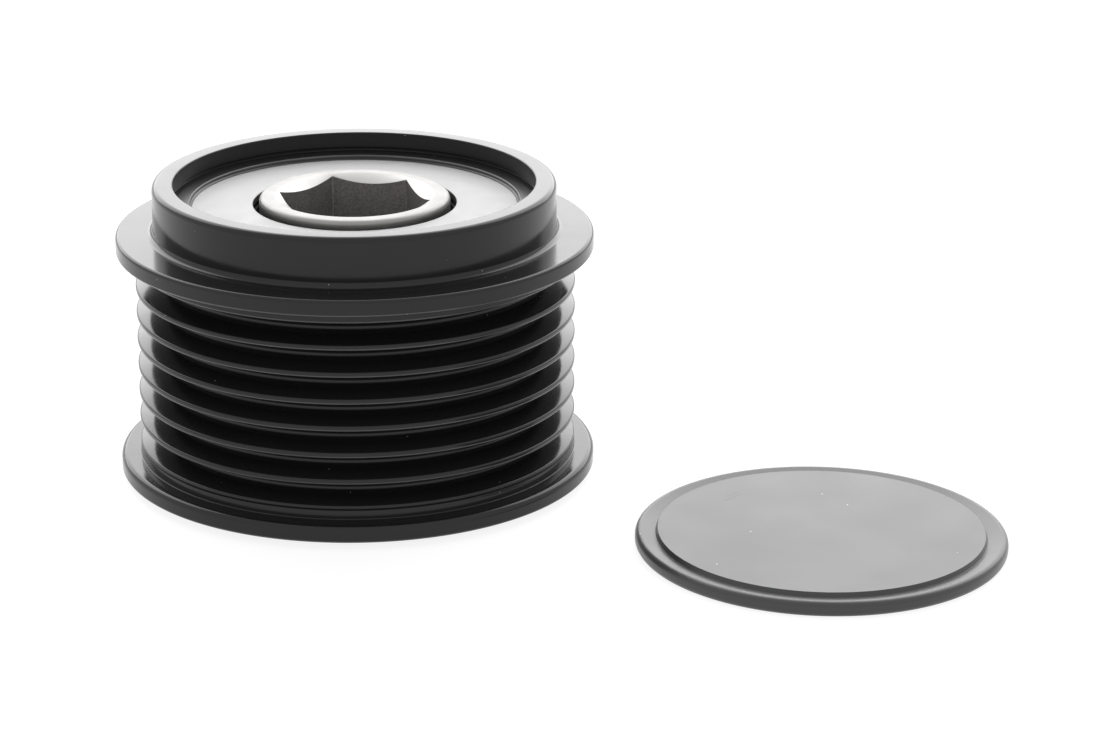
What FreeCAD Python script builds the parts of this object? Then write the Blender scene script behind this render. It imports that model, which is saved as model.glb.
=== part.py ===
import FreeCAD, Part
import math
import os

# Overrunning alternator pulley with seven poly-V grooves, and its dust cap lying beside it.
# Millimetres. The origin is on the shaft axis in the hub's rear face, +Z points out of the
# tool socket at the front, and the pulley stands on its rear face.

Vector = FreeCAD.Vector

# Hub: tool socket, nose, roller track and shaft bore
hex_flats = 17.5
hex_depth = 11.0
hex_turn = -9.5
countersink_angle = 120.0
countersink_rim = 0.4
nose_wall = 2.4
nose_rounding = 0.7
nose_above_plate = 1.28
nose_step = 2.1
rear_neck_step = 1.6
register_radius = 8.5
register_depth = 10.0
thread_radius = 7.19
thread_depth = 13.0
relief_radius = 8.0
hub_chamfer = 0.5

# Roller rows, which carry the belt load
roller_diameter = 3.5
roller_count = 12
row_rim = 0.8
row_bar_height = 1.8
row_gap = 0.8
row_end_gap = 0.5

# One-way clutch between the rows
clutch_length = 10.0
clutch_count = 10
clutch_rim = 1.2
ramp_wall = 0.9
ramp_depth = 0.6
ramp_angle = 7.0
ramp_high_run = 2.3
ramp_low_run = 1.7
ramp_end_gap = 0.3
wedge_room = 0.15
wedge_travel = 3.0
spring_space = 2.6
spring_thickness = 0.2
spring_height = 6.0

# Sleeve pressed into the ring, and the washers at its ends
sleeve_wall = 2.3
washer_thickness = 1.0
washer_edge_gap = 0.5

# Seals
seal_depth = 2.6
seal_wall = 0.6
seal_inset = 0.4
seal_gap = 0.2
lip_reach = 2.4

# Cover plate, the recess that holds it, and the lip rolled over its rim
plate_seat_width = 1.0
plate_thickness = 1.0
plate_dish = 0.3
plate_lip = 0.45
plate_lip_height = 0.2
plate_bore_gap = 0.8
ledge_rise = 0.6
ledge_width = 2.15
recess_depth = 2.65
snap_groove_depth = 0.4
snap_groove_height = 0.55

# Ring: collar, flanges and belt grooves
ring_above_floor = 1.0
collar_wall = 2.75
collar_height = 6.53
collar_rounding = 0.6
groove_pitch = 3.56
groove_count = 7
groove_angle = 40.0
groove_floor = 0.7
ridge_land = 0.62
wall_under_grooves = 5.3
rear_shoulder = 1.44
front_shoulder = 1.21
rear_flange_thickness = 2.2
front_flange_thickness = 2.2
rear_flange_height = 2.6
front_flange_height = 2.42
edge_chamfer = 0.25
ring_chamfer = 0.5

# Dust cap, taken off and lying flat beside the pulley
cap_x = 60.0
cap_y = -28.7
cap_rim_gap = 0.15
cap_rim_wall = 1.3
cap_rim_height = 1.95
cap_rim_rounding = 1.1
cap_foot_chamfer = 0.5
cap_crest_width = 0.1
cap_crest_slope = 0.45
cap_channel_depth = 0.33
cap_disc_inset = 2.6
cap_disc_rise = 0.25
cap_step_slope = 0.25
cap_wall = 1.1

# Clearances
seat_gap = 0.02
roller_gap = 0.05
end_play = 0.1
pocket_gap = 0.1
lip_gap = 0.03

# Radii, from the socket outwards
hex_corner = hex_flats / math.sqrt(3)
nose_radius = hex_corner + nose_wall
hub_track = nose_radius + nose_step
rear_neck = hub_track - rear_neck_step
row_pitch_radius = hub_track + roller_gap + roller_diameter / 2
sleeve_track = row_pitch_radius + roller_diameter / 2 + roller_gap
ring_bore = sleeve_track + sleeve_wall + seat_gap
plate_seat_radius = ring_bore + plate_seat_width
recess_radius = plate_seat_radius + ledge_width
collar_radius = recess_radius + collar_wall

# Belt groove section: straight flanks down to a narrow flat floor
groove_half_top = (groove_pitch - ridge_land) / 2
groove_depth = (groove_half_top - groove_floor / 2) / math.tan(math.radians(groove_angle / 2))
ridge_radius = ring_bore + wall_under_grooves + groove_depth
rear_flange_radius = ridge_radius + rear_flange_height
front_flange_radius = ridge_radius + front_flange_height

# Heights of the ring, from its rear face to the collar's top
ring_rear = ring_above_floor
rear_flange_top = ring_rear + rear_flange_thickness
track_start = rear_flange_top + rear_shoulder
track_end = track_start + groove_count * groove_pitch
front_flange_bottom = track_end + front_shoulder
front_flange_top = front_flange_bottom + front_flange_thickness
collar_top = front_flange_top + collar_height
ledge_height = collar_top - recess_depth
plate_top = ledge_height - ledge_rise
plate_bottom = plate_top - plate_thickness
lip_bottom = plate_top + seat_gap
hub_top = plate_top + nose_above_plate

# Heights of what lies between ring and hub
rear_seal_bottom = ring_rear + seal_inset
rear_washer_bottom = rear_seal_bottom + seal_depth + seal_gap
rear_washer_top = rear_washer_bottom + washer_thickness
sleeve_bottom = rear_washer_top + end_play
front_seal_bottom = plate_bottom - seal_gap - seal_depth
front_washer_bottom = front_seal_bottom - seal_gap - washer_thickness
sleeve_top = front_washer_bottom - end_play
clutch_bottom = (sleeve_bottom + sleeve_top - clutch_length) / 2
clutch_top = clutch_bottom + clutch_length
row_length = clutch_bottom - row_gap - sleeve_bottom - row_end_gap
rear_row_bottom = sleeve_bottom + row_end_gap
front_row_bottom = clutch_top + row_gap

# Clutch section: a roller between the sleeve and a sloping flat on the ramp ring
slope = math.radians(ramp_angle)
ramp_floor = hub_track + ramp_wall
clutch_space = sleeve_track - roller_gap - ramp_floor
clutch_roller_radius = (clutch_space * math.cos(slope) - wedge_room) / (1 + math.cos(slope))
clutch_pitch_radius = sleeve_track - roller_gap - clutch_roller_radius
ramp_land = ramp_floor + ramp_depth
spring_side = clutch_roller_radius + roller_gap
pocket_high_side = -(clutch_pitch_radius * math.sin(math.radians(wedge_travel))
                     + clutch_roller_radius + pocket_gap)
pocket_low_side = spring_side + spring_space


def section(corners):
    """Closed face in the XZ plane. A corner is (radius, height), with its rounding as a third number."""
    points = [Vector(corner[0], 0, corner[1]) for corner in corners]
    starts, middles, ends = [], [], []
    for i, corner in enumerate(points):
        rounding = corners[i][2] if len(corners[i]) > 2 else 0
        back = (points[i - 1] - corner).normalize()
        ahead = (points[(i + 1) % len(points)] - corner).normalize()
        half_angle = back.getAngle(ahead) / 2
        setback = rounding / math.tan(half_angle)
        inward = (back + ahead).normalize()
        starts.append(corner + back * setback)
        ends.append(corner + ahead * setback)
        middles.append(corner + inward * (rounding / math.sin(half_angle) - rounding) if rounding else None)
    edges = []
    for i, end in enumerate(ends):
        if middles[i]:
            edges.append(Part.Arc(starts[i], middles[i], end).toShape())
        edges.append(Part.LineSegment(end, starts[(i + 1) % len(ends)]).toShape())
    return Part.Face(Part.Wire(edges))


def turned(corners):
    return section(corners).revolve(Vector(0, 0, 0), Vector(0, 0, 1), 360)


def tube(inner, outer, bottom, length):
    top = bottom + length
    return turned([(inner, bottom), (outer, bottom), (outer, top), (inner, top)])


def prism(outline, bottom, height):
    """Plain column over a list of (x, y) corners."""
    points = [Vector(x, y, bottom) for x, y in outline]
    return Part.Face(Part.makePolygon(points + points[:1])).extrude(Vector(0, 0, height))


def around(shape, angle):
    copy = shape.copy()
    copy.rotate(Vector(0, 0, 0), Vector(0, 0, 1), angle)
    return copy


def all_around(shape, count):
    return [around(shape, i * 360 / count) for i in range(count)]


def strip(path, thickness):
    """Outline of a flat strip of even thickness whose middle follows a list of (x, y) points."""
    left, right = [], []
    for i, (x, y) in enumerate(path):
        into = path[max(i - 1, 0)], path[max(i, 1)]
        out = path[min(i, len(path) - 2)], path[min(i + 1, len(path) - 1)]
        angles = [math.atan2(b[1] - a[1], b[0] - a[0]) for a, b in (into, out)]
        half_turn = math.remainder(angles[1] - angles[0], math.tau) / 2
        across = angles[0] + half_turn + math.pi / 2
        reach = thickness / 2 / math.cos(half_turn)
        offset = (reach * math.cos(across), reach * math.sin(across))
        left.append((x + offset[0], y + offset[1]))
        right.append((x - offset[0], y - offset[1]))
    return left + right[::-1]


def pulley_ring():
    """Outer ring: rear flange, grooves, front flange and the collar with its recess."""
    outside = [
        (ring_bore + ring_chamfer, ring_rear),
        (rear_flange_radius, ring_rear),
        (rear_flange_radius, rear_flange_top),
        (ridge_radius, rear_flange_top),
    ]
    floor_radius = ridge_radius - groove_depth
    for i in range(groove_count):
        middle = track_start + (i + 0.5) * groove_pitch
        outside.append((ridge_radius, middle - groove_half_top))
        outside.append((floor_radius, middle - groove_floor / 2))
        outside.append((floor_radius, middle + groove_floor / 2))
        outside.append((ridge_radius, middle + groove_half_top))
    outside += [
        (ridge_radius, front_flange_bottom),
        (front_flange_radius, front_flange_bottom),
        (front_flange_radius, front_flange_top),
        (collar_radius, front_flange_top),
        (collar_radius, collar_top, collar_rounding),
    ]
    groove_top = ledge_height + snap_groove_height
    inside = [
        (recess_radius + edge_chamfer, collar_top),
        (recess_radius, collar_top - edge_chamfer),
        (recess_radius, groove_top),
        (recess_radius + snap_groove_depth, groove_top),
        (recess_radius + snap_groove_depth, ledge_height),
        (plate_seat_radius, ledge_height),
        (plate_seat_radius, lip_bottom + plate_lip_height),
        (plate_seat_radius - plate_lip, lip_bottom),
        (plate_seat_radius, lip_bottom),
        (plate_seat_radius, plate_bottom),
        (ring_bore, plate_bottom),
        (ring_bore, ring_rear + ring_chamfer),
    ]
    return turned(outside + inside)


def hub():
    """Inner shaft piece: shaft register, thread bore, roller track and the nose with its socket."""
    slant = math.tan(math.radians(90 - countersink_angle / 2))
    countersink_radius = hex_corner + countersink_rim
    socket_bore = relief_radius
    thread_bottom = register_depth + (register_radius - thread_radius) * slant
    thread_top = thread_bottom + thread_depth
    body = turned([
        (register_radius, 0),
        (rear_neck - hub_chamfer, 0),
        (rear_neck, hub_chamfer),
        (rear_neck, rear_washer_top),
        (hub_track, rear_washer_top),
        (hub_track, front_washer_bottom),
        (nose_radius, front_washer_bottom),
        (nose_radius, hub_top, nose_rounding),
        (countersink_radius, hub_top),
        (socket_bore, hub_top - (countersink_radius - socket_bore) * slant),
        (socket_bore, thread_top),
        (thread_radius, thread_top),
        (thread_radius, thread_bottom),
        (register_radius, register_depth),
    ])
    corners = [math.radians(hex_turn + 60 * i) for i in range(6)]
    hexagon = [(hex_corner * math.cos(a), hex_corner * math.sin(a)) for a in corners]
    return body.cut(prism(hexagon, hub_top - hex_depth, hex_depth + 1))


def raceway_sleeve():
    """Hardened sleeve, pressed into the ring, on which all the rollers run."""
    return tube(sleeve_track, ring_bore - seat_gap, sleeve_bottom, sleeve_top - sleeve_bottom)


def ramp_ring():
    """Ring pressed on the hub, with one sloping flat under each clutch roller."""
    bottom = clutch_bottom + ramp_end_gap
    length = clutch_length - 2 * ramp_end_gap
    flat = clutch_pitch_radius - (clutch_roller_radius + wedge_room) / math.cos(slope)
    beyond = ramp_land + 1
    ramp = prism([
        (flat + ramp_high_run * math.tan(slope), -ramp_high_run),
        (beyond, -ramp_high_run),
        (beyond, ramp_low_run),
        (flat - ramp_low_run * math.tan(slope), ramp_low_run),
    ], bottom - 1, length + 2)
    return tube(hub_track + seat_gap, ramp_land, bottom, length).cut(all_around(ramp, clutch_count))


def clutch_cage():
    """Moulded cage with a pocket for each clutch roller and its spring."""
    inner = ramp_land + pocket_gap
    outer = sleeve_track - 3 * pocket_gap
    pocket = prism([
        (inner - 1, pocket_high_side),
        (outer + 1, pocket_high_side),
        (outer + 1, pocket_low_side),
        (inner - 1, pocket_low_side),
    ], clutch_bottom + clutch_rim, clutch_length - 2 * clutch_rim)
    return tube(inner, outer, clutch_bottom, clutch_length).cut(all_around(pocket, clutch_count))


def clutch_roller():
    length = clutch_length - 2 * clutch_rim - 2 * pocket_gap
    foot = Vector(clutch_pitch_radius, 0, clutch_bottom + clutch_rim + pocket_gap)
    return Part.makeCylinder(clutch_roller_radius, length, foot)


def clutch_spring():
    """Folded leaf spring: one leg on the cage's bar, two slanting folds, one leg on the roller."""
    low = ramp_land + 2 * pocket_gap + spring_thickness
    high = sleeve_track - 5 * pocket_gap - spring_thickness
    at_bar = pocket_low_side - seat_gap - spring_thickness / 2
    at_roller = spring_side + spring_thickness / 2
    middle = (at_bar + at_roller) / 2
    path = [(low, at_bar), (high, at_bar), (low, middle), (high, at_roller), (low, at_roller)]
    bottom = clutch_bottom + (clutch_length - spring_height) / 2
    return prism(strip(path, spring_thickness), bottom, spring_height)


def row_cage(bottom):
    """Cage of one roller row, with a window for each roller."""
    inner = row_pitch_radius - row_bar_height / 2
    outer = row_pitch_radius + row_bar_height / 2
    half_width = roller_diameter / 2 + pocket_gap
    window = prism([
        (inner - 1, -half_width),
        (outer + 1, -half_width),
        (outer + 1, half_width),
        (inner - 1, half_width),
    ], bottom + row_rim, row_length - 2 * row_rim)
    return tube(inner, outer, bottom, row_length).cut(all_around(window, roller_count))


def row_roller(bottom):
    length = row_length - 2 * row_rim - 2 * pocket_gap
    foot = Vector(row_pitch_radius, 0, bottom + row_rim + pocket_gap)
    return Part.makeCylinder(roller_diameter / 2, length, foot)


def thrust_washer(neck, bottom):
    outer = ring_bore - washer_edge_gap
    return tube(neck + seat_gap, outer, bottom, washer_thickness)


def seal_case(neck, outer_face, inward):
    """Pressed steel case. Its flange is at outer_face, and inward is +1 or -1 along the axis."""
    outer = ring_bore - seat_gap
    return turned([
        (neck + lip_reach, outer_face),
        (outer, outer_face),
        (outer, outer_face + inward * seal_depth),
        (outer - seal_wall, outer_face + inward * seal_depth),
        (outer - seal_wall, outer_face + inward * seal_wall),
        (neck + lip_reach, outer_face + inward * seal_wall),
    ])


def seal_lip(neck, outer_face, inward):
    """Rubber lip bonded to the case's flange, with its edge on the hub's neck."""
    root = neck + lip_reach
    return turned([
        (root, outer_face),
        (root, outer_face + inward * seal_wall),
        (root - lip_reach * 0.4, outer_face + inward * seal_depth * 0.4),
        (neck + lip_reach * 0.25, outer_face + inward * seal_depth * 0.8),
        (neck + lip_gap, outer_face + inward * seal_depth * 0.65),
        (neck + lip_reach * 0.25, outer_face + inward * seal_depth * 0.3),
        (neck + lip_reach * 0.25, outer_face),
    ])


def cover_plate():
    """Steel disc under the ring's lip, dished up slightly towards the hub's nose, which it clears."""
    bore = nose_radius + plate_bore_gap
    rim = plate_seat_radius - seat_gap
    return turned([
        (bore, plate_bottom + plate_dish),
        (ring_bore, plate_bottom),
        (rim, plate_bottom),
        (rim, plate_top),
        (ring_bore, plate_top),
        (bore, plate_top + plate_dish),
    ])


def dust_cap():
    """Moulded cap: raised disc, sunk channel round it, and a round rim that presses into the recess."""
    rim = recess_radius - cap_rim_gap
    crest = rim - cap_rim_rounding - cap_crest_width
    channel = cap_rim_height - cap_channel_depth
    disc = rim - cap_disc_inset
    disc_top = cap_rim_height + cap_disc_rise
    hollow = rim - cap_rim_wall
    body = turned([
        (0, disc_top - cap_wall),
        (hollow, disc_top - cap_wall),
        (hollow, 0),
        (rim - cap_foot_chamfer, 0),
        (rim, cap_foot_chamfer),
        (rim, cap_rim_height, cap_rim_rounding),
        (crest, cap_rim_height),
        (crest - cap_crest_slope, channel),
        (disc, channel),
        (disc - cap_step_slope, disc_top),
        (0, disc_top),
    ])
    return body.translate(Vector(cap_x, cap_y, 0))


nodes = {
    "pulley_ring": pulley_ring(),
    "raceway_sleeve": raceway_sleeve(),
    "hub": hub(),
    "ramp_ring": ramp_ring(),
    "clutch_cage": clutch_cage(),
    "front_row_cage": row_cage(front_row_bottom),
    "rear_row_cage": row_cage(rear_row_bottom),
    "front_thrust_washer": thrust_washer(nose_radius, front_washer_bottom),
    "rear_thrust_washer": thrust_washer(rear_neck, rear_washer_bottom),
    "front_seal_case": seal_case(nose_radius, front_seal_bottom + seal_depth, -1),
    "front_seal_lip": seal_lip(nose_radius, front_seal_bottom + seal_depth, -1),
    "rear_seal_case": seal_case(rear_neck, rear_seal_bottom, 1),
    "rear_seal_lip": seal_lip(rear_neck, rear_seal_bottom, 1),
    "cover_plate": cover_plate(),
    "dust_cap": dust_cap(),
}

for i, roller in enumerate(all_around(clutch_roller(), clutch_count)):
    nodes[f"clutch_roller_{i + 1:02d}"] = roller
for i, spring in enumerate(all_around(clutch_spring(), clutch_count)):
    nodes[f"clutch_spring_{i + 1:02d}"] = spring
for row, bottom in (("front", front_row_bottom), ("rear", rear_row_bottom)):
    for i, roller in enumerate(all_around(row_roller(bottom), roller_count)):
        nodes[f"{row}_roller_{i + 1:02d}"] = roller

os.makedirs("parts", exist_ok=True)
for name, shape in nodes.items():
    shape.exportStep(f"parts/{name}.step")
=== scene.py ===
import math
import bpy
from mathutils import Matrix, Vector


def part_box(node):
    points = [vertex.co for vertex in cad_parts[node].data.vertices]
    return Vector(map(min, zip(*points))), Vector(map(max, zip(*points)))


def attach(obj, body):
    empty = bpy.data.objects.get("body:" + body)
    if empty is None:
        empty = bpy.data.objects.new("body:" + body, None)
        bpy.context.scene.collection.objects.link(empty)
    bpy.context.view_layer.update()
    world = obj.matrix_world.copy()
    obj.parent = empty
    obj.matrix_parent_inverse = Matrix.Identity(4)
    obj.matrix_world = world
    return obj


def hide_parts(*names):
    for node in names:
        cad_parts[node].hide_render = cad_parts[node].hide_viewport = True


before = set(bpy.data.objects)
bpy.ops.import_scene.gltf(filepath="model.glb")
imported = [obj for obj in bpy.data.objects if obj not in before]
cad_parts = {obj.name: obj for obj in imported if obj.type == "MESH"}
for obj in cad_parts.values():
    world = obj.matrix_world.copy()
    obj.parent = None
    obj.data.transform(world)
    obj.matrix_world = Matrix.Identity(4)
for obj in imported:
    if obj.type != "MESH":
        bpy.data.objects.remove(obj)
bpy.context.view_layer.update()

# Hub: the inner piece, which screws onto the alternator's shaft. It is turned from steel bar,
# with a ground track for the rollers, an M16 thread in its bore, and a hexagon socket that is
# broached in its nose under a 120 degree countersink.

mm = 0.001
hub_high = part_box("hub")[1]
hub_top = hub_high.z
hub_track = hub_high.x
hex_flats = 17.5 * mm
hex_corner = hex_flats / math.sqrt(3)
hex_corner_rounding = 0.25 * mm
hex_half_side = math.radians(30)
hex_depth = 11 * mm
hex_bottom = hub_top - hex_depth
hex_turn = math.radians(-9.5)
nose_wall = 2.4 * mm
nose_radius = hex_corner + nose_wall
nose_rounding = 0.7 * mm
neck_step = 1.6 * mm
neck_radius = hub_track - neck_step
countersink_rim = 0.4 * mm
countersink_radius = hex_corner + countersink_rim
countersink_slope = math.tan(math.radians(30))
track_bottom = 5.2 * mm
track_top = 31.25 * mm
register_radius = 8.5 * mm
register_depth = 10 * mm
relief_radius = 8 * mm
thread_pitch = 1.5 * mm
thread_root_half = thread_pitch / 16
thread_flank_width = thread_pitch * 5 / 16
thread_radius = 7.19 * mm
thread_depth = relief_radius - thread_radius
thread_top = 23.76 * mm
thread_samples = 12
thread_run_out_slope = 2
thread_relief_start = thread_top + 0.1 * mm
broken_edge = 0.08 * mm
large_rounding = 0.2 * mm


def rounded(corners):
    """Points of a closed section. A corner is (radius, height, rounding), in order round the section."""
    points = []
    for i, (radius, height, rounding) in enumerate(corners):
        corner = Vector((radius, height))
        if rounding == 0:
            points.append(corner)
            continue
        back = (Vector(corners[i - 1][:2]) - corner).normalized()
        ahead = (Vector(corners[(i + 1) % len(corners)][:2]) - corner).normalized()
        half_angle = back.angle(ahead) / 2
        centre = corner + (back + ahead).normalized() * rounding / math.sin(half_angle)
        start = corner + back * rounding / math.tan(half_angle) - centre
        turn = math.pi - 2 * half_angle
        if back.cross(ahead) > 0:
            turn = -turn
        count = 8 if rounding >= large_rounding else 3
        for k in range(count + 1):
            points.append(centre + Matrix.Rotation(turn * k / count, 2) @ start)
    return points


def turned(name, section_at, angles):
    """Closed mesh round the Z axis, where section_at(angle) gives the section's points at that angle."""
    sections = [section_at(angle) for angle in angles]
    count = len(sections[0])
    points = []
    for angle, section in zip(angles, sections):
        for radius, height in section:
            points.append((radius * math.cos(angle), radius * math.sin(angle), height))
    faces = []
    for i in range(len(angles)):
        here = i * count
        there = (i + 1) % len(angles) * count
        for j in range(count):
            above = (j + 1) % count
            faces.append((here + j, there + j, there + above, here + above))
    mesh = bpy.data.meshes.new(name)
    mesh.from_pydata(points, [], faces)
    mesh.shade_smooth()
    piece = bpy.data.objects.new(name, mesh)
    bpy.context.collection.objects.link(piece)
    piece.modifiers.new("even_shading", "WEIGHTED_NORMAL")
    return piece


def evenly(count, first=0.0):
    return [first + math.tau * i / count for i in range(count)]


def hex_wall(angle):
    """Distance from the axis to the socket's wall, with its six corners rounded."""
    off_corner = abs(math.remainder(angle - hex_turn, math.tau / 6))
    rounding_centre = hex_corner - hex_corner_rounding / math.cos(hex_half_side)
    past_tangent = hex_corner_rounding**2 - (rounding_centre * math.sin(off_corner)) ** 2
    tangent = math.atan2(hex_corner_rounding * math.sin(hex_half_side),
                         rounding_centre + hex_corner_rounding * math.cos(hex_half_side))
    if off_corner < tangent:
        return rounding_centre * math.cos(off_corner) + math.sqrt(past_tangent)
    return hex_flats / 2 / math.cos(hex_half_side - off_corner)


def thread_wall(angle, height):
    """Distance from the axis to the threaded wall: 60 degree grooves between narrow flat crests."""
    lead_in = register_radius - (height - register_depth) / countersink_slope
    run_out = relief_radius + (height - thread_top) * thread_run_out_slope
    along = (height / thread_pitch - angle / math.tau) % 1
    off_groove = abs(along - 0.5) * thread_pitch
    flank = (off_groove - thread_root_half) / thread_flank_width
    groove = thread_radius + thread_depth * (1 - min(max(flank, 0), 1))
    return min(max(lead_in, groove, run_out), register_radius)


def hub_section(angle):
    wall = hex_wall(angle)
    wall_top = hub_top - (countersink_radius - wall) * countersink_slope
    corners = [
        (register_radius, 0, 4 * broken_edge),
        (neck_radius, 0, 6 * broken_edge),
        (neck_radius, track_bottom, broken_edge),
        (hub_track, track_bottom, 3 * broken_edge),
        (hub_track, track_top, 3 * broken_edge),
        (nose_radius, track_top, broken_edge),
        (nose_radius, hub_top, nose_rounding),
        (countersink_radius, hub_top, broken_edge),
        (wall, wall_top, broken_edge),
        (wall, hex_bottom, broken_edge),
        (relief_radius, hex_bottom, broken_edge),
        (relief_radius, thread_relief_start, 0),
    ]
    rows = round((thread_top - register_depth) / thread_pitch * thread_samples)
    for i in range(rows + 1):
        height = thread_top - (thread_top - register_depth) * i / rows
        corners.append((thread_wall(angle, height), height, 0))
    return rounded(corners)


def new_finish(name, colour, roughness, metallic):
    """Material, its main shader, and coordinates in the piece's own metres for its textures."""
    material = bpy.data.materials.new(name)
    material.use_nodes = True
    nodes = material.node_tree.nodes
    shader = nodes["Principled BSDF"]
    shader.inputs["Base Color"].default_value = (*colour, 1)
    shader.inputs["Roughness"].default_value = roughness
    shader.inputs["Metallic"].default_value = metallic
    place = nodes.new("ShaderNodeTexCoord").outputs["Object"]
    return material, shader, place


def noise(material, place, grain, detail=3.0):
    """Noise whose spots are about grain across."""
    texture = material.node_tree.nodes.new("ShaderNodeTexNoise")
    texture.inputs["Scale"].default_value = 1 / grain
    texture.inputs["Detail"].default_value = detail
    material.node_tree.links.new(place, texture.inputs["Vector"])
    return texture.outputs["Fac"]


def between(material, value, low, high, start=0.3, end=0.7):
    """Value spread so that start becomes low and end becomes high."""
    spread = material.node_tree.nodes.new("ShaderNodeMapRange")
    spread.inputs["From Min"].default_value = start
    spread.inputs["From Max"].default_value = end
    spread.inputs["To Min"].default_value = low
    spread.inputs["To Max"].default_value = high
    material.node_tree.links.new(value, spread.inputs["Value"])
    return spread.outputs["Result"]


def relief(material, shader, height, depth):
    """Raises the surface by up to depth where height is 1, on top of any relief that it already has."""
    links = material.node_tree.links
    bump = material.node_tree.nodes.new("ShaderNodeBump")
    bump.inputs["Strength"].default_value = 1
    bump.inputs["Distance"].default_value = depth
    links.new(height, bump.inputs["Height"])
    normal = shader.inputs["Normal"]
    if normal.links:
        links.new(normal.links[0].from_socket, bump.inputs["Normal"])
    links.new(bump.outputs["Normal"], normal)


def round_axis(material, place):
    """Coordinates that change only with radius and height, for the lines that a lathe leaves."""
    nodes = material.node_tree.nodes
    links = material.node_tree.links
    apart = nodes.new("ShaderNodeSeparateXYZ")
    flat = nodes.new("ShaderNodeCombineXYZ")
    radius = nodes.new("ShaderNodeVectorMath")
    radius.operation = "LENGTH"
    along = nodes.new("ShaderNodeCombineXYZ")
    links.new(place, apart.inputs["Vector"])
    links.new(apart.outputs["X"], flat.inputs["X"])
    links.new(apart.outputs["Y"], flat.inputs["Y"])
    links.new(flat.outputs["Vector"], radius.inputs[0])
    links.new(radius.outputs["Value"], along.inputs["X"])
    links.new(apart.outputs["Z"], along.inputs["Z"])
    return along.outputs["Vector"]


def stretched(material, place, amounts):
    """Coordinates multiplied along X, Y and Z. A small amount draws a texture out along that axis."""
    scale = material.node_tree.nodes.new("ShaderNodeVectorMath")
    scale.operation = "MULTIPLY"
    scale.inputs[1].default_value = amounts
    material.node_tree.links.new(place, scale.inputs[0])
    return scale.outputs["Vector"]


def toned(material, shader, value, dark, light, start=0.35, end=0.7):
    """Base colour that goes from dark at start to light at end."""
    tone = material.node_tree.nodes.new("ShaderNodeValToRGB")
    tone.color_ramp.elements[0].position = start
    tone.color_ramp.elements[0].color = (*dark, 1)
    tone.color_ramp.elements[1].position = end
    tone.color_ramp.elements[1].color = (*light, 1)
    material.node_tree.links.new(value, tone.inputs["Fac"])
    material.node_tree.links.new(tone.outputs["Color"], shader.inputs["Base Color"])


def turned_steel(name, colour, roughness, line_width, line_depth):
    """Bare steel with fine lathe lines and faint clouding."""
    material, shader, place = new_finish(name, colour, roughness, metallic=1)
    lines = noise(material, round_axis(material, place), line_width)
    clouds = noise(material, place, 2.5 * mm)
    gloss = material.node_tree.nodes.new("ShaderNodeMath")
    gloss.operation = "ADD"
    links = material.node_tree.links
    links.new(between(material, lines, -0.05, 0.05), gloss.inputs[0])
    links.new(between(material, clouds, roughness - 0.04, roughness + 0.04), gloss.inputs[1])
    links.new(gloss.outputs["Value"], shader.inputs["Roughness"])
    relief(material, shader, lines, line_depth)
    return material


def broached_steel():
    """Dark socket walls, streaked by the broach and mottled by what is left of the scale."""
    material, shader, place = new_finish("broached_steel", (0.12, 0.115, 0.11), roughness=0.5, metallic=0.6)
    streaks = noise(material, stretched(material, place, (1, 1, 0.06)), 0.3 * mm, 4.0)
    mottle = noise(material, place, 0.3 * mm, 5.0)
    toned(material, shader, mottle, (0.2, 0.19, 0.18), (0.33, 0.317, 0.305))
    material.node_tree.links.new(between(material, streaks, 0.38, 0.6), shader.inputs["Roughness"])
    relief(material, shader, mottle, 0.012 * mm)
    relief(material, shader, streaks, 0.02 * mm)
    return material


corner_step = math.radians(0.24)
hub_angles = evenly(240, hex_turn)
for corner_angle in evenly(6, hex_turn):
    hub_angles += [corner_angle + k * corner_step for k in (-3, -2, -1, 1, 2, 3)]
hub_angles = sorted(angle % math.tau for angle in hub_angles)
hub = turned("hub_turned", hub_section, hub_angles)
bright_steel = turned_steel("bright_turned_steel", (0.285, 0.281, 0.276), roughness=0.46,
                            line_width=0.12 * mm, line_depth=0.001 * mm)
countersunk_steel = turned_steel("countersunk_steel", (0.42, 0.415, 0.406), roughness=0.4,
                                 line_width=0.1 * mm, line_depth=0.002 * mm)
for finish in (bright_steel, broached_steel(), countersunk_steel):
    hub.data.materials.append(finish)
for face in hub.data.polygons:
    radius = face.center.xy.length
    if radius < countersink_radius and face.center.z > hex_bottom - broken_edge:
        steep = abs(face.normal.z) < 0.35
        in_floor = face.center.z < hex_bottom + broken_edge
        face.material_index = 1 if steep or in_floor else 2
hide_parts("hub")
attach(hub, "hub_body")

# Ramp ring and raceway sleeve: the two hardened steel rings between which the clutch rollers
# wedge. The ramp ring is pressed on the hub and the sleeve into the pulley, and both are ground.


def dress(names, material):
    """Gives solids that keep their own shape their real finish."""
    for name in names:
        for place_on_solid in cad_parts[name].material_slots:
            place_on_solid.material = material


ground_steel = turned_steel("ground_steel", (0.56, 0.56, 0.57), roughness=0.22,
                            line_width=0.06 * mm, line_depth=0.001 * mm)
dress(["ramp_ring", "raceway_sleeve"], ground_steel)

# Thrust washers: two flat hardened rings on the hub's necks, which keep the ring from moving
# along the hub.

washer_steel = turned_steel("lapped_washer_steel", (0.52, 0.52, 0.53), roughness=0.34,
                            line_width=0.1 * mm, line_depth=0.001 * mm)
dress(["front_thrust_washer", "rear_thrust_washer"], washer_steel)

# Cages: moulded in glass filled nylon of a natural brown. One holds the clutch rollers and their
# springs, and two hold the roller rows.


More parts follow.
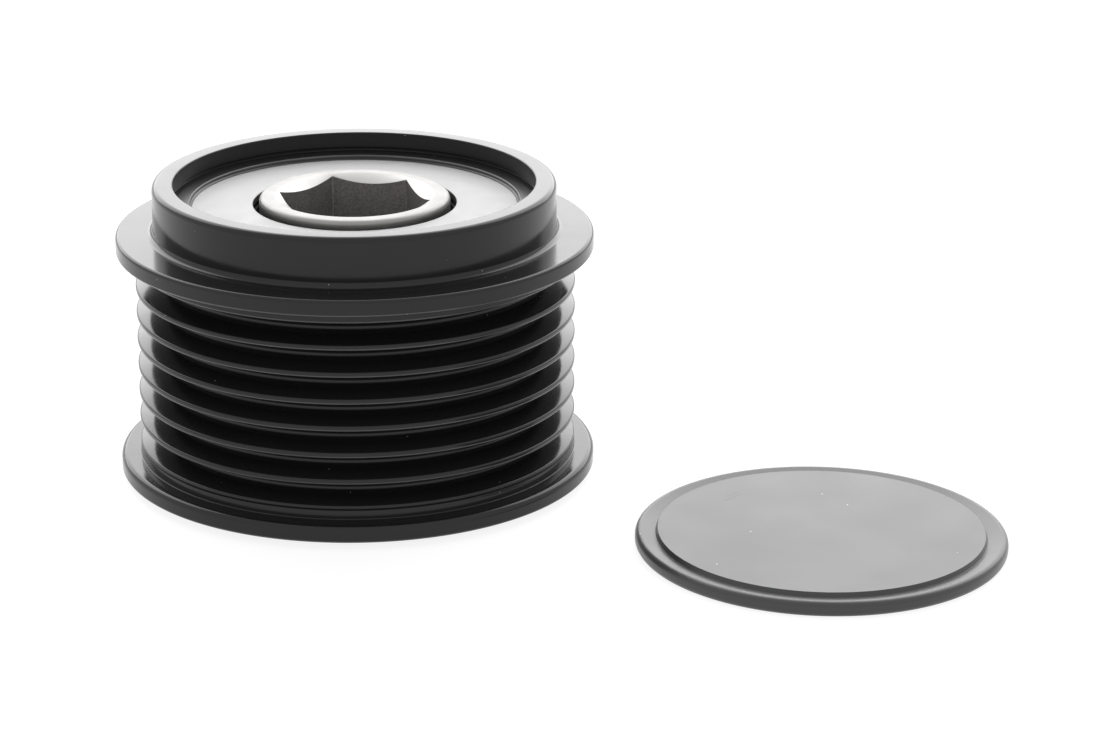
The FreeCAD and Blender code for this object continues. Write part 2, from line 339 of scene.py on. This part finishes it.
def moulded_nylon():
    material, shader, place = new_finish(
        "glass_filled_nylon", (0.48, 0.37, 0.2), roughness=0.48, metallic=0)
    shader.inputs["Subsurface Weight"].default_value = 0.1
    shader.inputs["Subsurface Radius"].default_value = (0.6 * mm, 0.4 * mm, 0.2 * mm)
    shader.inputs["Subsurface Scale"].default_value = 1
    fibres = noise(material, place, 0.25 * mm, 6.0)
    material.node_tree.links.new(between(material, fibres, 0.4, 0.58), shader.inputs["Roughness"])
    relief(material, shader, fibres, 0.004 * mm)
    return material


dress(["clutch_cage", "front_row_cage", "rear_row_cage"], moulded_nylon())

# Rollers: short cylinders of bearing steel, ground and polished. Ten wedge in the clutch, and
# two rows of twelve carry the belt load.


def polished_steel():
    material, shader, place = new_finish(
        "polished_bearing_steel", (0.66, 0.66, 0.68), roughness=0.1, metallic=1)
    smears = noise(material, place, 0.8 * mm)
    material.node_tree.links.new(between(material, smears, 0.07, 0.16), shader.inputs["Roughness"])
    return material


dress([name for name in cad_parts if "_roller_" in name], polished_steel())

# Clutch springs: folded strips of rolled spring steel, blued by hardening, one behind each
# clutch roller.


def blued_spring_steel():
    material, shader, place = new_finish(
        "blued_spring_steel", (0.3, 0.29, 0.33), roughness=0.3, metallic=1)
    heat = noise(material, place, 3 * mm)
    toned(material, shader, heat, (0.24, 0.2, 0.16), (0.2, 0.22, 0.3))
    return material


dress([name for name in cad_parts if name.startswith("clutch_spring_")], blued_spring_steel())

# Pulley ring: turned from one steel forging, with seven poly-V grooves between two flanges and a
# plain collar whose recess takes the cover plate and the dust cap. All of it has a smooth black
# coat, glossy outside and duller in the recess.

ring_low, ring_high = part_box("pulley_ring")
ring_rear = ring_low.z
collar_top = ring_high.z
rear_flange_radius = ring_high.x
groove_pitch = 3.56 * mm
groove_count = 7
groove_floor = 0.7 * mm
groove_depth = 3.077 * mm
ridge_land = 0.62 * mm
ridge_rounding = 0.28 * mm
groove_rounding = 0.45 * mm
rear_flange_height = 2.6 * mm
rear_flange_thickness = 2.2 * mm
rear_shoulder = 1.44 * mm
front_shoulder = 1.21 * mm
front_flange_height = 2.42 * mm
front_flange_thickness = 2.2 * mm
ridge_radius = rear_flange_radius - rear_flange_height
front_flange_radius = ridge_radius + front_flange_height
rear_flange_top = ring_rear + rear_flange_thickness
track_start = rear_flange_top + rear_shoulder
scribed_line = track_start - 0.28 * mm
scribed_width = 0.12 * mm
front_flange_bottom = track_start + groove_count * groove_pitch + front_shoulder
front_flange_top = front_flange_bottom + front_flange_thickness
flange_lower_rounding = 0.3 * mm
front_flange_rounding = 0.5 * mm
rear_flange_rounding = 0.8 * mm
flange_fillet = 0.12 * mm
collar_fillet = 0.8 * mm
wall_under_grooves = 5.3 * mm
plate_seat_width = 1 * mm
ledge_width = 2.15 * mm
collar_wall = 2.75 * mm
ring_bore = ridge_radius - groove_depth - wall_under_grooves
plate_seat_radius = ring_bore + plate_seat_width
recess_radius = plate_seat_radius + ledge_width
collar_radius = recess_radius + collar_wall
collar_rounding = 0.75 * mm
ring_chamfer = 0.5 * mm
recess_depth = 2.65 * mm
ledge_height = collar_top - recess_depth
snap_groove_depth = 0.4 * mm
snap_groove_height = 0.55 * mm
snap_groove_top = ledge_height + snap_groove_height
ledge_rise = 0.6 * mm
plate_thickness = 1 * mm
plate_gap = 0.02 * mm
plate_top = ledge_height - ledge_rise
plate_bottom = plate_top - plate_thickness
lip_bottom = plate_top + plate_gap
lip_height = 0.2 * mm
lip_reach = 0.45 * mm


def ring_corners():
    corners = [
        (ring_bore + ring_chamfer, ring_rear, broken_edge),
        (rear_flange_radius, ring_rear, flange_lower_rounding),
        (rear_flange_radius, rear_flange_top, rear_flange_rounding),
        (ridge_radius, rear_flange_top, flange_fillet),
        (ridge_radius, scribed_line - scribed_width / 2, 0),
        (ridge_radius - scribed_width, scribed_line, 0),
        (ridge_radius, scribed_line + scribed_width / 2, 0),
    ]
    half_top = (groove_pitch - ridge_land) / 2
    floor_radius = ridge_radius - groove_depth
    for i in range(groove_count):
        middle = track_start + (i + 0.5) * groove_pitch
        corners.append((ridge_radius, middle - half_top, ridge_rounding))
        corners.append((floor_radius, middle - groove_floor / 2, groove_rounding))
        corners.append((floor_radius, middle + groove_floor / 2, groove_rounding))
        corners.append((ridge_radius, middle + half_top, ridge_rounding))
    corners += [
        (ridge_radius, front_flange_bottom, flange_fillet),
        (front_flange_radius, front_flange_bottom, flange_lower_rounding),
        (front_flange_radius, front_flange_top, front_flange_rounding),
        (collar_radius, front_flange_top, collar_fillet),
        (collar_radius, collar_top, collar_rounding),
        (recess_radius, collar_top, 2 * broken_edge),
        (recess_radius, snap_groove_top, broken_edge),
        (recess_radius + snap_groove_depth, snap_groove_top, broken_edge),
        (recess_radius + snap_groove_depth, ledge_height, broken_edge),
        (plate_seat_radius, ledge_height, 2 * broken_edge),
        (plate_seat_radius, lip_bottom + lip_height, broken_edge),
        (plate_seat_radius - lip_reach, lip_bottom, 0.5 * broken_edge),
        (plate_seat_radius, lip_bottom, 0),
        (plate_seat_radius, plate_bottom, broken_edge),
        (ring_bore, plate_bottom, broken_edge),
        (ring_bore, ring_rear + ring_chamfer, broken_edge),
    ]
    return corners


def mark_painted_highlight(piece, section):
    """Stores 1 where a highlight is painted on: the lower edges outside and the recess's small edges."""
    longest_step = 0.2 * mm
    beside_seat = 0.3 * mm
    marks = []
    for i, here in enumerate(section):
        into = here - section[i - 1]
        out = section[(i + 1) % len(section)] - here
        rounding = max(into.length, out.length) < longest_step and into.cross(out) > 0
        lower_edge = here.x > ridge_radius - ridge_rounding and out.x > 0
        in_recess = here.x < plate_seat_radius + beside_seat and here.y > plate_top
        marks.append(1.0 if rounding and (lower_edge or in_recess) else 0.0)
    store = piece.data.attributes.new("painted_highlight", "FLOAT", "POINT")
    store.data.foreach_set("value", marks * (len(piece.data.vertices) // len(section)))


def product(material, first, second):
    both = material.node_tree.nodes.new("ShaderNodeMath")
    both.operation = "MULTIPLY"
    material.node_tree.links.new(first, both.inputs[0])
    material.node_tree.links.new(second, both.inputs[1])
    return both.outputs["Value"]


def dust(material, place, spacing, share, size):
    """1 on sparse specks, 0 between them. Only a share of the cells, each spacing wide, has one."""
    nodes = material.node_tree.nodes
    links = material.node_tree.links
    cells = nodes.new("ShaderNodeTexVoronoi")
    cells.inputs["Scale"].default_value = 1 / spacing
    links.new(place, cells.inputs["Vector"])
    speck = nodes.new("ShaderNodeMath")
    speck.operation = "LESS_THAN"
    speck.inputs[1].default_value = size / spacing
    links.new(cells.outputs["Distance"], speck.inputs[0])
    chance = nodes.new("ShaderNodeSeparateColor")
    links.new(cells.outputs["Color"], chance.inputs["Color"])
    chosen = nodes.new("ShaderNodeMath")
    chosen.operation = "LESS_THAN"
    chosen.inputs[1].default_value = share
    links.new(chance.outputs["Red"], chosen.inputs[0])
    return product(material, speck.outputs["Value"], chosen.outputs["Value"])


def layered(material, shader, share, colour):
    """Lays a colour over the base colour where share is 1."""
    base = shader.inputs["Base Color"]
    mix = material.node_tree.nodes.new("ShaderNodeMix")
    mix.data_type = "RGBA"
    mix.inputs["A"].default_value = base.default_value
    mix.inputs["B"].default_value = (*colour, 1)
    if base.links:
        material.node_tree.links.new(base.links[0].from_socket, mix.inputs["A"])
    material.node_tree.links.new(share, mix.inputs["Factor"])
    material.node_tree.links.new(mix.outputs["Result"], base)


def black_coat(name, roughness):
    """Black coat: a faint peel, uneven gloss, faint lathe lines under it, a painted highlight on the lower
    and small edges, and a few specks.
    """
    material, shader, place = new_finish(name, (0.015, 0.015, 0.016), roughness, metallic=0)
    peel = noise(material, place, 1.6 * mm, 2.0)
    lines = noise(material, round_axis(material, place), 0.3 * mm, 2.0)
    cloud = noise(material, place, 6 * mm, 4.0)
    links = material.node_tree.links
    links.new(between(material, cloud, roughness - 0.04, roughness + 0.04), shader.inputs["Roughness"])
    relief(material, shader, peel, 0.004 * mm)
    relief(material, shader, lines, 0.0006 * mm)
    # Painted highlight: where the stored mark is 1, the edges get a lighter colour and a stronger
    # reflection.
    stored = material.node_tree.nodes.new("ShaderNodeAttribute")
    stored.attribute_name = "painted_highlight"
    patches = between(material, noise(material, place, 5 * mm, 4.0), 0.7, 1)
    highlight_share = product(material, stored.outputs["Fac"], patches)
    links.new(between(material, highlight_share, 0.32, 0.72, 0, 1), shader.inputs["Specular IOR Level"])
    layered(material, shader, highlight_share, (0.065, 0.065, 0.064))
    specks = dust(material, place, spacing=2.4 * mm, share=0.4, size=0.08 * mm)
    layered(material, shader, specks, (0.4, 0.4, 0.39))
    return material


ring_section = rounded(ring_corners())
ring = turned("pulley_ring_coated", lambda angle: ring_section, evenly(256))
mark_painted_highlight(ring, ring_section)
ring.data.materials.append(black_coat("glossy_black_coat", 0.15))
ring.data.materials.append(black_coat("dull_black_coat", 0.34))
for face in ring.data.polygons:
    if face.center.z > plate_bottom and face.center.xy.length < recess_radius + 1.1 * snap_groove_depth:
        face.material_index = 1
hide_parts("pulley_ring")
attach(ring, "ring_body")

# Seals: a pressed steel case in each end of the ring, with a rubber lip bonded to its flange.
# The lips run on the hub's necks.


def dark_sheet_steel():
    material, shader, place = new_finish(
        "phosphated_sheet_steel", (0.1, 0.1, 0.1), roughness=0.45, metallic=0.8)
    clouds = noise(material, place, 0.9 * mm, 5.0)
    material.node_tree.links.new(between(material, clouds, 0.38, 0.55), shader.inputs["Roughness"])
    return material


def seal_rubber():
    material, shader, place = new_finish(
        "seal_rubber", (0.018, 0.018, 0.019), roughness=0.6, metallic=0)
    skin = noise(material, place, 0.3 * mm, 4.0)
    material.node_tree.links.new(between(material, skin, 0.5, 0.7), shader.inputs["Roughness"])
    relief(material, shader, skin, 0.003 * mm)
    return material


dress(["front_seal_case", "rear_seal_case"], dark_sheet_steel())
dress(["front_seal_lip", "rear_seal_lip"], seal_rubber())

# Cover plate: a bright steel disc, punched and finely blasted, and dished slightly towards the
# nose. A lip of the ring is rolled over its rim, so it turns with the ring.

nose_clearance = 0.8 * mm
plate_bore = nose_radius + nose_clearance
plate_rim = plate_seat_radius - plate_gap
plate_dish = 0.3 * mm
plate_section = rounded([
    (plate_bore, plate_bottom + plate_dish, broken_edge),
    (ring_bore, plate_bottom, 0),
    (plate_rim, plate_bottom, broken_edge),
    (plate_rim, plate_top, broken_edge),
    (ring_bore, plate_top, 0),
    (plate_bore, plate_top + plate_dish, 2 * broken_edge),
])


def blasted_steel():
    material, shader, place = new_finish(
        "blasted_plate_steel", (0.455, 0.455, 0.457), roughness=0.58, metallic=0.45)
    pits = noise(material, place, 0.12 * mm, 4.0)
    clouds = noise(material, place, 3 * mm)
    material.node_tree.links.new(between(material, clouds, 0.54, 0.62), shader.inputs["Roughness"])
    relief(material, shader, pits, 0.005 * mm)
    return material


def sheared_and_shaded_steel():
    """The rough wall that a punch leaves, with a dark colour that is painted shade for the narrow gap round
    the hub's nose.
    """
    material, shader, place = new_finish(
        "sheared_plate_edge_painted_shade", (0.09, 0.088, 0.085), roughness=0.6, metallic=0.5)
    drag = noise(material, stretched(material, place, (1, 1, 0.1)), 0.15 * mm, 4.0)
    relief(material, shader, drag, 0.02 * mm)
    return material


plate = turned("cover_plate_disc", lambda angle: plate_section, evenly(240))
plate.data.materials.append(blasted_steel())
plate.data.materials.append(sheared_and_shaded_steel())
# The bore wall takes the dark finish: painted shade in the gap round the nose.
for face in plate.data.polygons:
    if face.center.xy.length < plate_bore + broken_edge and abs(face.normal.z) < 0.5:
        face.material_index = 1
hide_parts("cover_plate")
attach(plate, "ring_body")

# Dust cap: moulded in dark grey plastic, with a raised disc and a round rim that slopes down to
# it, and presses into the recess. It has been taken off and lies on its rim beside the pulley.

cap_low, cap_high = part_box("dust_cap")
cap_centre = (cap_low + cap_high) / 2
cap_top = cap_high.z
cap_rim = (cap_high.x - cap_low.x) / 2
cap_rim_drop = 0.25 * mm
cap_rim_height = cap_top - cap_rim_drop
cap_rim_rounding = 0.75 * mm
cap_foot_rounding = 0.85 * mm
cap_crest_width = 0.1 * mm
cap_crest = cap_rim - cap_rim_rounding - cap_crest_width
cap_crest_rounding = 0.8 * mm
cap_channel_depth = 0.33 * mm
cap_channel = cap_rim_height - cap_channel_depth
cap_rim_width = 2.6 * mm
cap_disc = cap_rim - cap_rim_width
cap_step_slope = 0.25 * mm
cap_rim_wall = 1.3 * mm
cap_hollow = cap_rim - cap_rim_wall
cap_wall = 1.1 * mm
cap_pinhole = 0.01 * mm
scratch_width = 0.25 * mm
scratch_depth = 0.02 * mm
scratches = [
    (Vector((-12.4, 10, 0)) * mm, Vector((-8, 14.5, 0)) * mm),
    (Vector((-13.2, 8.2, 0)) * mm, Vector((-8.2, 13, 0)) * mm),
]
cap_section = rounded([
    (cap_pinhole, cap_top - cap_wall, 0),
    (cap_hollow, cap_top - cap_wall, large_rounding),
    (cap_hollow, 0, broken_edge),
    (cap_rim, 0, cap_foot_rounding),
    (cap_rim, cap_rim_height, cap_rim_rounding),
    (cap_crest, cap_rim_height, cap_crest_rounding),
    (cap_disc, cap_channel, broken_edge),
    (cap_disc - cap_step_slope, cap_top, broken_edge),
    (cap_pinhole, cap_top, 0),
])


def scratch(material, place, start, end):
    """1 along the middle of a scratch in the top face, fading to 0 at its sides and ends."""
    along = end - start
    lined_up = material.node_tree.nodes.new("ShaderNodeMapping")
    lined_up.vector_type = "TEXTURE"
    lined_up.inputs["Location"].default_value = cap_centre.xy.to_3d() + (start + end) / 2
    lined_up.inputs["Rotation"].default_value = (0, 0, math.atan2(along.y, along.x))
    lined_up.inputs["Scale"].default_value = (along.length / 2, scratch_width / 2, 1)
    fade = material.node_tree.nodes.new("ShaderNodeTexGradient")
    fade.gradient_type = "SPHERICAL"
    material.node_tree.links.new(place, lined_up.inputs["Vector"])
    material.node_tree.links.new(lined_up.outputs["Vector"], fade.inputs["Vector"])
    return fade.outputs["Fac"]


def satin_plastic():
    """Satin plastic with faint flow marks, two fine scratches and a few specks of dust."""
    material, shader, place = new_finish(
        "satin_cap_plastic", (0.045, 0.045, 0.047), roughness=0.3, metallic=0)
    shader.inputs["IOR"].default_value = 1.55
    shader.inputs["Sheen Weight"].default_value = 0.3
    shader.inputs["Sheen Roughness"].default_value = 0.4
    flow = noise(material, place, 9 * mm, 4.0)
    skin = noise(material, place, 0.6 * mm, 2.0)
    material.node_tree.links.new(between(material, flow, 0.33, 0.38), shader.inputs["Roughness"])
    relief(material, shader, skin, 0.002 * mm)
    for start, end in scratches:
        unscratched = between(material, scratch(material, place, start, end), 1, 0, 0, 1)
        relief(material, shader, unscratched, scratch_depth)
    specks = dust(material, place, spacing=3 * mm, share=0.5, size=0.1 * mm)
    layered(material, shader, specks, (0.7, 0.7, 0.7))
    return material


cap = turned("dust_cap_moulded", lambda angle: cap_section, evenly(240))
cap.data.transform(Matrix.Translation((cap_centre.x, cap_centre.y, 0)))
cap.data.materials.append(satin_plastic())
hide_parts("dust_cap")
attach(cap, "hub_body")

# Floor: plain white, wide enough for every view. It keeps the soft shadow under the pulley and
# the cap.

floor_half = 4.0
floor_tone = 0.3
glow_as_light = 0.3
glow_as_seen = 0.86
floor_mesh = bpy.data.meshes.new("floor")
floor_mesh.from_pydata(
    [(x * floor_half, y * floor_half, 0) for x, y in ((-1, -1), (1, -1), (1, 1), (-1, 1))],
    [], [(0, 1, 2, 3)])
floor = bpy.data.objects.new("floor", floor_mesh)
bpy.context.collection.objects.link(floor)


def seen_directly(tree):
    """1 for what the camera sees, straight or in a reflection or through glass, and 0 for soft light."""
    rays = tree.nodes.new("ShaderNodeLightPath")
    total = rays.outputs["Is Camera Ray"]
    for name in ("Is Glossy Ray", "Is Transmission Ray"):
        either = tree.nodes.new("ShaderNodeMath")
        either.operation = "MAXIMUM"
        tree.links.new(total, either.inputs[0])
        tree.links.new(rays.outputs[name], either.inputs[1])
        total = either.outputs["Value"]
    return total


def white_floor():
    """Matt white that glows a little, so that it shows white under plain light and keeps the shadow."""
    material = bpy.data.materials.new("white_floor")
    material.use_nodes = True
    tree = material.node_tree
    tree.nodes.remove(tree.nodes["Principled BSDF"])
    matte = tree.nodes.new("ShaderNodeBsdfDiffuse")
    matte.inputs["Color"].default_value = (floor_tone, floor_tone, floor_tone, 1)
    lift = tree.nodes.new("ShaderNodeMath")
    lift.operation = "MULTIPLY_ADD"
    lift.inputs[1].default_value = glow_as_seen - glow_as_light
    lift.inputs[2].default_value = glow_as_light
    glow = tree.nodes.new("ShaderNodeEmission")
    both = tree.nodes.new("ShaderNodeAddShader")
    tree.links.new(seen_directly(tree), lift.inputs[0])
    tree.links.new(lift.outputs["Value"], glow.inputs["Strength"])
    tree.links.new(matte.outputs["BSDF"], both.inputs[0])
    tree.links.new(glow.outputs["Emission"], both.inputs[1])
    tree.links.new(both.outputs["Shader"], tree.nodes["Material Output"].inputs["Surface"])
    return material


floor.data.materials.append(white_floor())

# Light: a white surround, and two soft panels behind the pulley, a wide high one and a low strip,
# that the top faces mirror.

world = bpy.data.worlds.new("white_surround")
bpy.context.scene.world = world
world.use_nodes = True
surround = world.node_tree
soft = surround.nodes["Background"]
soft.inputs["Color"].default_value = (1, 1, 1, 1)
soft.inputs["Strength"].default_value = 0.55
white = surround.nodes.new("ShaderNodeBackground")
white.inputs["Color"].default_value = (1, 1, 1, 1)
white.inputs["Strength"].default_value = 1
choose = surround.nodes.new("ShaderNodeMixShader")
surround.links.new(seen_directly(surround), choose.inputs["Fac"])
surround.links.new(soft.outputs["Background"], choose.inputs[1])
surround.links.new(white.outputs["Background"], choose.inputs[2])
surround.links.new(choose.outputs["Shader"], surround.nodes["World Output"].inputs["Surface"])


def panel(name, place, aim, width, height, brightness):
    """Soft rectangular lamp. Its brightness is that of a white card in plain light times this number."""
    lamp = bpy.data.lights.new(name, "AREA")
    lamp.shape = "RECTANGLE"
    lamp.size = width
    lamp.size_y = height
    lamp.energy = brightness * math.pi * width * height
    holder = bpy.data.objects.new(name, lamp)
    holder.location = place
    holder.rotation_euler = (Vector(aim) - Vector(place)).to_track_quat("-Z", "Y").to_euler()
    holder.visible_camera = False
    bpy.context.collection.objects.link(holder)


lamp_aim = (0, 0, 0.02)
panel("back_panel", (0, 0.5, 0.42), lamp_aim, width=1.3, height=0.75, brightness=2.1)
panel("back_strip", (0, 0.45, 0.165), lamp_aim, width=0.45, height=0.16, brightness=0.5)

# Camera: 110 mm lens, looking 19 degrees down from in front of the pulley and the cap.

camera_place = (26.3 * mm, -426.8 * mm, 161.1 * mm)
camera_down = math.radians(19.1)
camera_roll = math.radians(0.26)
camera = bpy.data.objects.new("camera", bpy.data.cameras.new("camera"))
camera.data.lens = 110
camera.data.sensor_width = 36
camera.location = camera_place
level = Matrix.Rotation(math.pi / 2 - camera_down, 3, "X")
camera.rotation_euler = (level @ Matrix.Rotation(camera_roll, 3, "Z")).to_euler()
bpy.context.collection.objects.link(camera)
bpy.context.scene.camera = camera
bpy.context.scene.view_settings.view_transform = "Standard"
